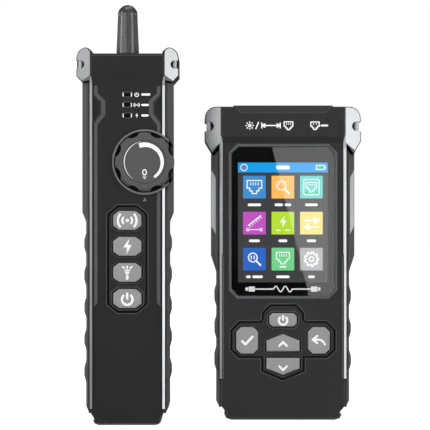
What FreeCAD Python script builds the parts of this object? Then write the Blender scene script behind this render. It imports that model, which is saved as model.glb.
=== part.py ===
import FreeCAD, Part
import math
import os

os.makedirs("parts", exist_ok=True)

# Network cable tester set, in millimetres: the tester stands with the centre of its
# flat base at the origin, and the tracing probe stands beside it. The fronts face -Y.

V = FreeCAD.Vector

# --- driving dimensions, shared --------------------------------------------------
WALL = 2.0                # wall of the moulded covers
BOARD_THICK = 1.6
KEY_TRAVEL = 0.8
KEY_GAP = 0.75            # clearance round a key in its hole
KEY_PROUD = 0.5           # key top above the panel
KEY_FLANGE = 1.0          # thickness of the flange that stops a key leaving its hole
KEY_STOP = 0.35           # how far that flange reaches behind the edge of the hole
RECESS_DEPTH = 1.2        # groove round a keypad, below the panel
GROOVE = 0.75             # width of that groove
ISLAND_DROP = 0.45        # keypad island below the panel
RIM = 0.45                # dark ear showing round a corner guard
DOOR_GAP = 0.15
SCREW_R = 1.25
SCREW_HEAD_R = 2.5
BOSS_R = 2.6
CELL_R = 7.15             # AA cell
CELL_LENGTH = 50.0

# --- tester ----------------------------------------------------------------------
T_PANEL_Y = -15.0         # front of the panel
T_HEAD_Y = -16.0          # front of the thicker head
T_BACK_Y = 16.0
T_CORE = 29.5             # half-width of the covers
T_TOP = 150.3
T_CAP_TOP = 151.0         # raised middle of the top end, round the sockets
T_CAP_HALF = 23.4
T_UPPER = 34.6            # half-width over the grips, upper part
T_LOWER = 32.1            # half-width over the grips, lower part
T_BUMP = 33.0
T_HORN = 37.7             # half-width over the corner guards
T_SCREEN = (26.1, 58.0, 132.4, 4.1)     # bezel: half-width, bottom, top, corner
T_FRAME = 1.45            # visible width of the bezel
LCD_HALF = 21.6           # active area of a 2.8-inch panel
LCD_BOTTOM = 65.9
LCD_TOP = 123.5
RJ45_X = -6.4
RJ11_X = 15.5
T_BOARD_BACK = -6.75
T_BOSSES = [(-25.2, 9.5), (25.2, 9.5), (-25.2, 143.0), (25.2, 143.0)]
T_CELLS_X = (-14.6, 0.0, 14.6)
T_CELLS_Y = 6.3
T_DOOR = (23.5, 13.0, 80.0, 4.0)        # battery door: half-width, bottom, top, corner
T_DOOR_SCREW_Z = 76.0

# --- probe, in its own frame, then moved to PROBE_X, PROBE_Y ---------------------
PROBE_X = -73.7
PROBE_Y = -22.0
P_PANEL_Y = -13.0
P_BACK_Y = 14.0
P_CORE = 17.0
P_TOP = 174.0
P_UPPER = 21.3
P_LOWER = 19.5
P_BUMP = 20.4
P_HORN = 24.1
P_BOARD_BACK = -2.6
P_BOSSES = [(-12.2, 9.0), (12.2, 9.0), (-12.2, 166.0), (12.2, 166.0)]
P_DOOR = (13.5, 12.0, 72.0, 3.0)
P_DOOR_SCREW_Z = 68.5
P_CELLS_X = (-7.35, 7.35)
P_CELLS_Y = 4.7
DIAL_X = 8.2
DIAL_Z = 123.1
DIAL_R = 13.76
DIAL_LOBES = 8
DIAL_FRONT = -16.2
DIAL_WELL_FLOOR = -8.2
COLLAR_IN = 14.4
COLLAR_OUT = 15.3
SHAFT_R = 3.0
RUNNING = 0.05            # radial clearance of the turning shaft
ANTENNA_X = -0.45
ANTENNA_R = 5.6
ANTENNA_TIP_R = 4.8
ANTENNA_TOP = 198.3
TORCH_X = 11.0
TORCH_R = 2.5


# --- small geometry helpers ------------------------------------------------------
def wire(points, y):
    corners = [V(x, y, z) for x, z in points]
    return Part.makePolygon(corners + corners[:1])


def slab(points, front, back):
    """Outline in X, Z pushed from depth front to depth back."""
    return Part.Face(wire(points, front)).extrude(V(0, back - front, 0))


def tiers(*sections):
    """Solid with flat facets through outlines at several depths."""
    return Part.makeLoft([wire(points, y) for points, y in sections], True, True)


def box(x0, x1, y0, y1, z0, z1):
    return Part.makeBox(x1 - x0, y1 - y0, z1 - z0, V(x0, y0, z0))


def rod_y(x, z, radius, front, back):
    return Part.makeCylinder(radius, back - front, V(x, front, z), V(0, 1, 0))


def rod_z(x, y, radius, bottom, top):
    return Part.makeCylinder(radius, top - bottom, V(x, y, bottom), V(0, 0, 1))


def both_sides(points):
    """Closed outline from the right half's points, bottom to top."""
    return points + [(-x, z) for x, z in reversed(points) if x > 0]


def inset(points, gap):
    """Anticlockwise outline moved inwards by gap (outwards when negative)."""
    moved = []
    for a, b, c in zip(points[-1:] + points[:-1], points, points[1:] + points[:1]):
        n1 = unit_normal(a, b)
        n2 = unit_normal(b, c)
        spread = gap / (1 + n1[0] * n2[0] + n1[1] * n2[1])
        moved.append((b[0] + spread * (n1[0] + n2[0]), b[1] + spread * (n1[1] + n2[1])))
    return moved


def unit_normal(a, b):
    length = math.hypot(b[0] - a[0], b[1] - a[1])
    return (-(b[1] - a[1]) / length, (b[0] - a[0]) / length)


def cut_corner_rect(half, bottom, top, corner, x=0.0, corner_z=None):
    """Rectangle with its four corners cut off."""
    cz = corner if corner_z is None else corner_z
    right = [(half - corner, bottom), (half, bottom + cz), (half, top - cz), (half - corner, top)]
    return [(x + px, z) for px, z in both_sides(right)]


def mirrored(shape):
    return shape.mirror(V(0, 0, 0), V(1, 0, 0))


def fuse_all(shapes):
    return shapes[0].multiFuse(shapes[1:]).removeSplitter()


def cut_all(shape, tools):
    for tool in tools:
        shape = shape.cut(tool)
    return shape


def profile_x(points, half):
    """Outline in Y, Z pushed across from -half to +half."""
    corners = [V(-half, y, z) for y, z in points]
    return Part.Face(Part.makePolygon(corners + corners[:1])).extrude(V(2 * half, 0, 0))


# --- outlines --------------------------------------------------------------------
def tester_core():
    right = [(24.8, 0.0), (27.2, 0.9), (28.1, 2.5), (26.5, 2.9), (T_CORE, 6.3), (T_CORE, T_TOP),
             (T_CAP_HALF + 0.6, T_TOP), (T_CAP_HALF, T_CAP_TOP)]
    return both_sides(right)


def probe_core():
    right = [(13.5, 0.0), (15.2, 0.8), (16.0, 2.1), (15.2, 2.5), (P_CORE, 5.4), (P_CORE, P_TOP)]
    return both_sides(right)


def hollow(half, top, foot_half, foot_top):
    """Outline of a case's inside."""
    return both_sides([(foot_half, WALL), (half - WALL, foot_top), (half - WALL, top - WALL)])


def tester_hollow():
    return hollow(T_CORE, T_TOP, 24.0, 8.5)


def probe_hollow():
    return hollow(P_CORE, P_TOP, 13.0, 7.5)


def grip_outline(core, lower, upper, bump, bump_centres, foot, waist, top, lean):
    """Right grip: outer edge with finger bumps; lean moves the outer edge inwards."""
    low = lower - lean[0]
    high = upper - lean[1]
    points = [(core, foot[0]), (min(foot[2], low), foot[1]), (low, foot[1] + 3.2)]
    for z in bump_centres:
        peak = bump - lean[0]
        points += [(low, z - 4.9), (peak, z - 1.8), (peak, z + 1.8), (low, z + 4.9)]
    points += [(low, waist[0]), (high, waist[1]), (high, top[0]), (core, top[1])]
    return points


def grip(side_y, **shape):
    front, front_full, back_full, back = side_y
    lean_front = (1.1, 2.4)
    lean_back = (1.6, 3.2)
    flat = (0.0, 0.0)
    return tiers((grip_outline(lean=lean_front, **shape), front),
                 (grip_outline(lean=flat, **shape), front_full),
                 (grip_outline(lean=flat, **shape), back_full),
                 (grip_outline(lean=lean_back, **shape), back))


def lanyard_pocket(outer, depth, z0, z1, front, floor):
    """D-shaped pocket in a corner guard, open to the front and the side."""
    radius = (z1 - z0) / 2
    middle = (z0 + z1) / 2
    straight = box(outer - depth + radius, outer + 1.0, front - 1.0, floor, z0, z1)
    return straight.fuse(rod_y(outer - depth + radius, middle, radius, front - 1.0, floor))


def facet(line, bottom, top):
    """Cutter that takes away all that lies in front of a sloping line in X, Y."""
    (x0, y0), (x1, y1) = line
    corners = [V(x, y, bottom) for x, y in ((x0, y0), (x1, y1), (x1, -30.0), (x0, -30.0))]
    return Part.Face(Part.makePolygon(corners + corners[:1])).extrude(V(0, 0, top - bottom))


def under_facet(line, left, right):
    """Cutter that takes away all that lies in front of a sloping line in Z, Y, and below its start."""
    (z0, y0), (z1, y1) = line
    corners = [V(left, y, z) for z, y in ((z0, y0), (z1, y1), (z1, -30.0), (z0, -30.0))]
    return Part.Face(Part.makePolygon(corners + corners[:1])).extrude(V(right - left, 0, 0))


def guard_block(outline, faces, drop):
    """What lies behind a corner guard's two sloping faces, moved back by drop."""
    side, under = faces
    top = max(z for x, z in outline) + 1
    bottom = min(z for x, z in outline) - 1
    block = slab(outline, side[0][1] + drop, 0.0)
    block = block.cut(facet([(x, y + drop) for x, y in side], bottom, top))
    return block.cut(under_facet([(z, y + drop) for z, y in under], 10.0, 45.0))


def guard_plate(outline, faces):
    """Silver plate that covers the front of an ear, set in by the rim."""
    smaller = inset(outline, RIM)
    return guard_block(smaller, faces, 0.0).cut(guard_block(smaller, faces, 1.6))


# --- tester: guards, grips, inserts ----------------------------------------------
T_POCKET = (138.6, 143.3)
T_POCKET_DEPTH = 4.5
T_PIN = (35.35, -10.9, 1.4)
T_GUARD_FACES = ([(T_CORE + 0.6, -16.0), (T_HORN + 1, -12.2)], [(134.6, -17.0), (126.0, -12.0)])


def tester_horn():
    """Outline of a corner ear."""
    return [(T_CORE, 133.0), (30.4, 132.2), (34.3, 127.3), (34.8, 128.9), (T_HORN, 133.8), (T_HORN, 144.4),
            (37.3, 146.7), (36.3, 148.5), (34.9, 149.7), (33.0, T_TOP), (T_CORE, T_TOP)]


def tester_pocket():
    """Lanyard pocket with a notch through the ear's outer edge."""
    notch = box(T_HORN - 0.9, T_HORN + 1, -20.0, 20.0, T_POCKET[0], T_POCKET[1])
    pocket = lanyard_pocket(T_HORN, T_POCKET_DEPTH, T_POCKET[0], T_POCKET[1], T_HEAD_Y, -7.0)
    return pocket.fuse(notch)


def tester_trim():
    rail = [(29.3, 19.8), (30.4, 19.8), (30.4, 136.0), (T_CORE, 136.4), (28.9, 132.6), (28.9, 79.8),
            (29.3, 78.8)]
    strip = slab(rail, -15.65, -11.8)
    strip = strip.cut(facet([(29.2, -15.7), (30.5, -15.1)], 19.0, 130.0))
    shape = fuse_all([guard_plate(tester_horn(), T_GUARD_FACES), strip])
    return cut_all(shape, [tester_pocket(), tester_lanyard_pin()])


def tester_ear_front():
    ear = [(x - 0.6 if x == T_CORE else x, z) for x, z in tester_horn()]
    return cut_all(guard_block(ear, T_GUARD_FACES, 0.9), [tester_pocket(), tester_lanyard_pin()])


def tester_ear_rear():
    ear = [(x - 0.6 if x == T_CORE else x, z) for x, z in tester_horn()]
    return tiers((ear, 0.0), (ear, 9.0), (inset(ear, 1.2), 10.2)).cut(tester_pocket())


def tester_lanyard_pin():
    return rod_z(T_PIN[0], T_PIN[1], T_PIN[2], T_POCKET[0] - 1.2, T_POCKET[1] + 1.2)


def tester_insert():
    """Sheared strip set into the sloped face of a grip."""
    section = [(32.3, -13.75), (34.35, -11.2), (33.75, -10.75), (31.7, -13.3)]
    corners = [V(x, y, 89.0 + 1.9 * (x - 32.3)) for x, y in section]
    return Part.Face(Part.makePolygon(corners + corners[:1])).extrude(V(0, 0, 27.2))


def tester_grip(neighbours):
    shape = grip((-13.8, -10.6, 10.6, 14.0), core=T_CORE, lower=T_LOWER, upper=T_UPPER, bump=T_BUMP,
                 bump_centres=(28.5, 43.95, 59.4), foot=(6.3, 5.7, 30.5), waist=(71.0, 79.0),
                 top=(127.0, 133.0))
    return cut_all(shape, neighbours)


# --- tester: covers --------------------------------------------------------------
def tester_keypad_outline():
    right = [(0.0, 19.0), (10.2, 23.4), (10.2, 29.8), (21.1, 29.8), (25.0, 33.5), (25.0, 43.1),
             (20.9, 47.2), (10.8, 47.2), (9.9, 48.3), (9.9, 51.3), (6.3, 55.2)]
    return both_sides(right)


def key_outlines_tester():
    return {
        "power": cut_corner_rect(6.6, 44.8, 51.2, 1.5),
        "ok": cut_corner_rect(5.25, 31.65, 44.55, 2.3, x=-17.2),
        "back": cut_corner_rect(5.25, 31.65, 44.55, 2.3, x=17.2),
        "up": both_sides([(7.95, 32.9), (7.95, 38.0), (0.0, 41.2)]),
        "down": both_sides([(0.0, 21.5), (7.95, 24.6), (7.95, 29.7)]),
    }


def tester_jack_holes():
    gap = 0.2
    return [box(RJ45_X - 8 - gap, RJ45_X + 8 + gap, T_BOARD_BACK - gap, 6.75 + gap, 140, 155),
            box(RJ11_X - 6.6 - gap, RJ11_X + 6.6 + gap, T_BOARD_BACK - gap, 5.25 + gap, 140, 155)]


def recess(outline, panel_y):
    """Cutter for the sunk field that a keypad lies in."""
    return slab(inset(outline, -0.4), panel_y - 1.0, panel_y + RECESS_DEPTH)


def island(outline, panel_y):
    """Flat-topped plate inside the groove, which the keys stand in."""
    top = panel_y + ISLAND_DROP
    return tiers((inset(outline, GROOVE + 0.1), top), (inset(outline, GROOVE - 0.4), top + 0.5),
                 (inset(outline, GROOVE - 0.4), panel_y + RECESS_DEPTH + 0.3))


def key_ring(outline, panel_y):
    """Raised rim round a power key."""
    top = panel_y + 0.1
    return tiers((inset(outline, -1.15), top), (inset(outline, -1.4), top + 0.35),
                 (inset(outline, -1.4), panel_y + RECESS_DEPTH + 0.1))


def key_hole(outline, panel_y):
    return slab(inset(outline, -KEY_GAP), panel_y - 2, panel_y + RECESS_DEPTH + 4)


def tester_front_cover(trims):
    foot = [(0.0, 0.0), (-14.6, 0.0), (T_PANEL_Y - 0.5, 0.7), (T_PANEL_Y, 2.3)]
    head = [(T_PANEL_Y, 132.9), (T_HEAD_Y, 136.1), (T_HEAD_Y, 149.9), (-15.4, T_CAP_TOP), (0.0, T_CAP_TOP)]
    body = slab(tester_core(), -17.0, 0.0).common(profile_x(foot + head, 40))
    body = body.cut(slab(tester_hollow(), T_PANEL_Y + WALL, 1.0))
    keypad_floor = slab(inset(tester_keypad_outline(), -1.0), T_PANEL_Y + 1.0, T_PANEL_Y + RECESS_DEPTH + 1.5)
    bosses = [rod_y(x, z, BOSS_R, T_PANEL_Y + WALL, 0.0) for x, z in T_BOSSES]
    body = fuse_all([body, keypad_floor] + bosses)
    scoop = slab(both_sides([(20.2, 147.3), (23.6, 151.3)]), -17.0, -12.0)
    scoop = scoop.common(profile_x([(-17.0, 147.3), (T_HEAD_Y, 147.3), (-13.2, 151.3), (-17.0, 151.3)], 30))
    half, bottom, top, corner = T_SCREEN
    window = slab(cut_corner_rect(half, bottom, top, corner), -18.0, T_PANEL_Y + WALL + 0.5)
    cutters = [scoop, window, recess(tester_keypad_outline(), T_PANEL_Y)]
    cutters += [rod_y(x, z, SCREW_R, -11.0, 1.0) for x, z in T_BOSSES]
    body = cut_all(body, cutters + tester_jack_holes())
    ear = tester_ear_front()
    band = slab(rect(0.6, 19.8, 78.8, x=28.9), T_PANEL_Y - 0.3, T_PANEL_Y + 0.5)
    plate = island(tester_keypad_outline(), T_PANEL_Y)
    ring = key_ring(key_outlines_tester()["power"], T_PANEL_Y)
    body = fuse_all([body, ear, mirrored(ear), band, mirrored(band), plate, ring])
    holes = [key_hole(outline, T_PANEL_Y) for outline in key_outlines_tester().values()]
    return cut_all(body, holes + trims)


def door_recess(door, back_y):
    half, bottom, top, corner = door
    return slab(inset(cut_corner_rect(half, bottom, top, corner), -DOOR_GAP), back_y - WALL - 0.2, back_y + 1)


def rear_shell(core, inner, half, top, back_y):
    """Rear cover's outside, with bevelled back edges, less its hollow."""
    edge = 1.4
    block = cut_corner_rect(half, 0.0, top, 0.6)
    bevelled = tiers((block, -1.0), (block, back_y - edge), (inset(block, edge), back_y))
    return slab(core, 0.0, back_y).common(bevelled).cut(slab(inner, -1.0, back_y - WALL))


def tester_rear_cover():
    body = rear_shell(tester_core(), tester_hollow(), T_CORE, T_CAP_TOP, T_BACK_Y)
    bosses = [rod_y(x, z, BOSS_R + 0.9, 0.0, T_BACK_Y - WALL) for x, z in T_BOSSES]
    inside = slab(cut_corner_rect(T_CORE - 0.5, 1.0, T_TOP - 0.5, 5.0), 0.0, T_BACK_Y - 1.0)
    bosses = [boss.common(inside) for boss in bosses]
    screw_post = rod_y(0, T_DOOR_SCREW_Z, 3.0, 8.0, T_BACK_Y - WALL - 0.2)
    beam = box(-T_CORE + 1, T_CORE - 1, 8.0, T_BACK_Y - WALL - 0.2, T_DOOR_SCREW_Z - 1, T_DOOR_SCREW_Z + 1)
    cutters = [door_recess(T_DOOR, T_BACK_Y)]
    cutters += [rod_y(x, z, SCREW_R + 0.2, -1.0, T_BACK_Y + 1) for x, z in T_BOSSES]
    cutters += [rod_y(x, z, SCREW_HEAD_R + 0.2, T_BACK_Y - 5.0, T_BACK_Y + 1) for x, z in T_BOSSES]
    body = cut_all(fuse_all([body] + bosses), cutters + tester_jack_holes())
    ear = tester_ear_rear()
    body = fuse_all([body, beam, screw_post, ear, mirrored(ear)])
    return body.cut(rod_y(0, T_DOOR_SCREW_Z, 1.0, 7.0, T_BACK_Y))


def case_screws(bosses, back_y):
    return [screw(x, z, SCREW_R, SCREW_HEAD_R, -9.0, back_y - 5.0, back_y - 3.2) for x, z in bosses]


def screw(x, z, radius, head_radius, tip, shoulder, top):
    """Pan-head screw along Y with a cross recess."""
    body = rod_y(x, z, radius, tip, shoulder).fuse(rod_y(x, z, head_radius, shoulder, top))
    arm = head_radius * 0.6
    slot = 0.35
    body = body.cut(box(x - arm, x + arm, top - 0.9, top + 1, z - slot, z + slot))
    return body.cut(box(x - slot, x + slot, top - 0.9, top + 1, z - arm, z + arm))


def battery_door(door, back_y, screw_z):
    """Flush door with a finger scoop and a screw hole."""
    half, bottom, top, corner = door
    outline = cut_corner_rect(half, bottom, top, corner)
    plate = tiers((outline, back_y - WALL), (outline, back_y - 0.4), (inset(outline, 0.4), back_y))
    grooves = [box(-half * 0.45, half * 0.45, back_y - 0.6, back_y + 1, z, z + 1.0)
               for z in (bottom + 5, bottom + 8, bottom + 11)]
    plate = cut_all(plate, grooves)
    plate = plate.cut(rod_y(0, screw_z, 1.0, back_y - 4, back_y + 1))
    return plate.cut(rod_y(0, screw_z, 2.1, back_y - 1.1, back_y + 1))


def door_screw(back_y, screw_z):
    return screw(0, screw_z, 0.95, 1.9, back_y - 6.5, back_y - 1.1, back_y - 0.15)


# --- tester: screen, keys and inner pieces ---------------------------------------
def tester_screen_bezel():
    half, bottom, top, corner = T_SCREEN
    outer = cut_corner_rect(half - 0.05, bottom + 0.05, top - 0.05, corner)
    body = tiers((inset(outer, 0.35), T_PANEL_Y - 0.5), (outer, T_PANEL_Y - 0.15), (outer, T_PANEL_Y + 1.9))
    inner = inset(cut_corner_rect(half, bottom, top, corner), T_FRAME)
    mouth = tiers((inset(inner, -0.55), T_PANEL_Y - 0.6), (inner, T_PANEL_Y + 0.3), (inner, T_PANEL_Y + 4))
    return body.cut(mouth)


def tester_screen_glass():
    half, bottom, top, corner = T_SCREEN
    outline = inset(cut_corner_rect(half, bottom, top, corner), T_FRAME + 0.05)
    return slab(outline, T_PANEL_Y + 0.15, T_PANEL_Y + 1.25)


def rect(half, bottom, top, x=0.0):
    return [(x - half, bottom), (x + half, bottom), (x + half, top), (x - half, top)]


def tester_lcd_panel():
    return slab(rect(LCD_HALF + 1.6, LCD_BOTTOM - 4.2, LCD_TOP + 1.8), T_PANEL_Y + 1.6, T_PANEL_Y + 2.9)


def tester_lcd_tray():
    outer = slab(rect(LCD_HALF + 2.3, LCD_BOTTOM - 4.9, LCD_TOP + 2.5), T_PANEL_Y + 2.0, T_PANEL_Y + 4.4)
    return outer.cut(slab(rect(LCD_HALF + 1.65, LCD_BOTTOM - 4.25, LCD_TOP + 1.85), -14, T_PANEL_Y + 2.95))


def key(outline, panel_y):
    """Key cap with a bevelled top, through its hole, with a flange behind."""
    top = panel_y - KEY_PROUD
    back_of_skin = panel_y + RECESS_DEPTH + 1.5
    cap = tiers((inset(outline, 0.5), top), (outline, top + 0.4), (outline, back_of_skin + 0.2))
    flange = slab(inset(outline, -KEY_GAP - KEY_STOP), back_of_skin + 0.1, back_of_skin + 0.1 + KEY_FLANGE)
    return cap.fuse(flange).removeSplitter()


def tester_keypad_mat():
    y = T_PANEL_Y + RECESS_DEPTH + 1.5 + 0.1 + KEY_FLANGE + KEY_TRAVEL + 0.1
    return slab(inset(tester_keypad_outline(), 0.4), y, y + 0.9)


def switches(centres, front, back):
    return [slab(cut_corner_rect(2.3, z - 2.3, z + 2.3, 0.5, x=x), front, back) for x, z in centres]


def tester_main_board():
    board = slab(cut_corner_rect(27.0, 15.0, 137.0, 2.0), T_BOARD_BACK - BOARD_THICK, T_BOARD_BACK)
    return board.cut(rod_y(0, 60.0, 1.6, -12, 0))


def socket(x, half, y0, y1, bottom, top, cavity_half, cavity_y, depth):
    """Modular socket housing, its mouth facing up."""
    body = box(x - half, x + half, y0, y1, bottom, top)
    cavity = box(x - cavity_half, x + cavity_half, cavity_y[0], cavity_y[1], top - depth, top + 1)
    latch = box(x - cavity_half * 0.5, x + cavity_half * 0.5, cavity_y[1] - 0.1, cavity_y[1] + 1.9,
                top - depth, top + 1)
    key_slot = box(x - cavity_half * 0.27, x + cavity_half * 0.27, cavity_y[1] + 1.8, cavity_y[1] + 3.0,
                   top - depth, top + 1)
    return cut_all(body, [cavity, latch, key_slot])


def tester_rj45_jack():
    return socket(RJ45_X, 8.0, T_BOARD_BACK, 6.75, 128.5, 150.9, 5.9, (-5.3, 1.5), 14.0)


def tester_rj11_jack():
    return socket(RJ11_X, 6.6, T_BOARD_BACK, 5.25, 134.0, 150.9, 4.9, (-5.3, 1.1), 12.5)


def contacts(x, count, pitch, wall_y, top):
    """Row of spring wires lying close to the socket's wall."""
    wires = []
    for i in range(count):
        place = x + (i - (count - 1) / 2) * pitch
        wires.append(box(place - 0.22, place + 0.22, wall_y, wall_y + 0.45, top - 11.5, top - 2.2))
    return wires


def beeper(x, z, radius, front, height):
    """Round sounder with a hole in its lid."""
    body = rod_y(x, z, radius, front, front + height)
    return body.cut(rod_y(x, z, 1.0, front + height - 1.0, front + height + 1))


def cells(places_x, y, bottom):
    """AA cells side by side, each with its raised terminal."""
    rows = []
    for x in places_x:
        can = rod_z(x, y, CELL_R, bottom, bottom + CELL_LENGTH - 1.0)
        rows.append(can.fuse(rod_z(x, y, 2.7, bottom + CELL_LENGTH - 1.0, bottom + CELL_LENGTH)))
    return rows


def cell_plates(places_x, y, bottom):
    low = [box(x - 4.5, x + 4.5, y - 4.5, y + 4.5, bottom - 0.6, bottom - 0.05) for x in places_x]
    high = [box(x - 4.5, x + 4.5, y - 4.5, y + 4.5, bottom + CELL_LENGTH + 0.05, bottom + CELL_LENGTH + 0.6)
            for x in places_x]
    return low + high


def export(name, shapes, at=(0.0, 0.0)):
    """Writes one node, moved to its place in the set."""
    pieces = shapes if isinstance(shapes, list) else [shapes]
    solids = [solid for piece in pieces for solid in piece.Solids]
    whole = solids[0] if len(solids) == 1 else Part.makeCompound(solids)
    whole = whole.copy()
    whole.translate(V(at[0], at[1], 0))
    whole.exportStep("parts/" + name + ".step")


def build_tester():
    trim = tester_trim()
    insert = tester_insert()
    grip_right = tester_grip([trim, insert, tester_ear_front(), tester_ear_rear()])
    pin = tester_lanyard_pin()
    export("tester_right_trim", trim)
    export("tester_left_trim", mirrored(trim))
    export("tester_right_grip", grip_right)
    export("tester_left_grip", mirrored(grip_right))
    export("tester_side_inserts", [insert, mirrored(insert)])
    export("tester_lanyard_pins", [pin, mirrored(pin)])
    export("tester_front_cover", tester_front_cover([trim, mirrored(trim)]))
    export("tester_rear_cover", tester_rear_cover())
    export("tester_battery_door", battery_door(T_DOOR, T_BACK_Y, T_DOOR_SCREW_Z))
    export("tester_door_screw", door_screw(T_BACK_Y, T_DOOR_SCREW_Z))
    export("tester_case_screws", case_screws(T_BOSSES, T_BACK_Y))
    export("tester_screen_bezel", tester_screen_bezel())
    export("tester_screen_glass", tester_screen_glass())
    export("tester_lcd_panel", tester_lcd_panel())
    export("tester_lcd_tray", tester_lcd_tray())
    export("tester_main_board", tester_main_board())
    export("tester_rj45_jack", tester_rj45_jack())
    export("tester_rj45_contacts", contacts(RJ45_X, 8, 1.02, -5.3, 150.9))
    export("tester_rj11_jack", tester_rj11_jack())
    export("tester_rj11_contacts", contacts(RJ11_X, 6, 1.02, -5.3, 150.9))
    for name, outline in key_outlines_tester().items():
        export("tester_" + name + "_button", key(outline, T_PANEL_Y))
    export("tester_keypad_mat", tester_keypad_mat())
    centres = [(0, 48.0), (-17.2, 38.1), (17.2, 38.1), (0, 36.5), (0, 26.2)]
    export("tester_key_switches", switches(centres, -9.3, T_BOARD_BACK - BOARD_THICK))
    export("tester_buzzer", beeper(17.0, 104.0, 4.8, T_BOARD_BACK, 4.5))
    export("tester_batteries", cells(T_CELLS_X, T_CELLS_Y, 19.0))
    export("tester_battery_contacts", cell_plates(T_CELLS_X, T_CELLS_Y, 19.0))


# --- probe -----------------------------------------------------------------------
P_POCKET = (166.9, 170.8)
P_POCKET_DEPTH = 3.9
P_PIN = (22.0, -9.4, 1.15)
P_KEYS = {"scan": 95.75, "voltage": 83.6, "torch": 71.4, "power": 59.2}
P_WINDOWS_Z = (144.9, 150.0, 154.7)
P_GUARD_FACES = ([(P_CORE + 0.6, -13.6), (P_HORN + 1, -10.1)], [(165.0, -14.4), (160.0, -11.0)])


def probe_horn():
    """Outline of a corner ear."""
    return [(P_CORE, 161.6), (17.6, 161.1), (21.0, 160.4), (21.6, 160.8), (P_HORN, 163.6), (P_HORN, 172.2),
            (23.4, 174.6), (21.9, 176.2), (19.9, 176.9), (18.3, 176.5), (P_CORE, 174.8)]


def probe_pocket():
    return lanyard_pocket(P_HORN, P_POCKET_DEPTH, P_POCKET[0], P_POCKET[1], P_PANEL_Y, -5.5)


def probe_trim():
    rail = [(16.4, 7.6), (17.6, 7.6), (17.6, 163.0), (P_CORE, 163.3), (16.4, 160.5)]
    strip = slab(rail, -13.6, -6.9)
    strip = strip.cut(facet([(16.4, -13.65), (17.7, -13.05)], 7.0, 159.0))
    shape = fuse_all([guard_plate(probe_horn(), P_GUARD_FACES), strip])
    return cut_all(shape, [probe_pocket(), probe_lanyard_pin()])


def probe_ear_front():
    ear = [(x - 0.6 if x == P_CORE else x, z) for x, z in probe_horn()]
    return cut_all(guard_block(ear, P_GUARD_FACES, 0.9), [probe_pocket(), probe_lanyard_pin()])


def probe_ear_rear():
    ear = [(x - 0.6 if x == P_CORE else x, z) for x, z in probe_horn()]
    return tiers((ear, 0.0), (ear, 8.0), (inset(ear, 1.0), 9.0))


def probe_lanyard_pin():
    return rod_z(P_PIN[0], P_PIN[1], P_PIN[2], P_POCKET[0] - 1.0, P_POCKET[1] + 1.0)


def dial_bore(radius):
    return rod_y(DIAL_X, DIAL_Z, radius, -20.0, DIAL_WELL_FLOOR)


def probe_grip(neighbours):
    shape = grip((-12.0, -9.4, 9.0, 12.0), core=P_CORE, lower=P_LOWER, upper=P_UPPER, bump=P_BUMP,
                 bump_centres=(24.8, 40.0, 55.0, 70.0, 84.9), foot=(5.5, 5.4, 18.1), waist=(95.2, 99.7),
                 top=(160.2, 161.2))
    return cut_all(shape, neighbours)


def rib_outline():
    """Right raised rib of the panel, which jogs inwards beside the indicators."""
    return [(13.8, 57.0), (15.7, 55.2), (15.7, 141.2), (12.2, 145.6), (12.2, 151.0), (15.7, 154.6),
            (15.7, 158.7), (13.8, 158.7), (13.8, 155.4), (10.1, 151.6), (10.1, 145.0), (13.8, 140.4)]


def probe_ribs():
    outline = rib_outline()
    raised = tiers((inset(outline, 0.3), P_PANEL_Y - 0.45), (outline, P_PANEL_Y - 0.15),
                   (outline, P_PANEL_Y + 0.8))
    return [raised.cut(dial_bore(COLLAR_OUT)), mirrored(raised)]


def side_pocket():
    """Sunk patch between a rib's jog and the rail."""
    return slab([(12.7, 145.9), (15.6, 142.2), (15.9, 142.2), (15.9, 153.9), (15.6, 153.9), (12.7, 150.8)],
                P_PANEL_Y - 1.0, P_PANEL_Y + 0.5)


def probe_keypad_outline():
    return cut_corner_rect(9.2, 52.6, 102.7, 4.7, corner_z=4.0)


def probe_key_outline(z):
    return cut_corner_rect(6.6, z - 4.45, z + 4.45, 2.7, corner_z=2.0)


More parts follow.
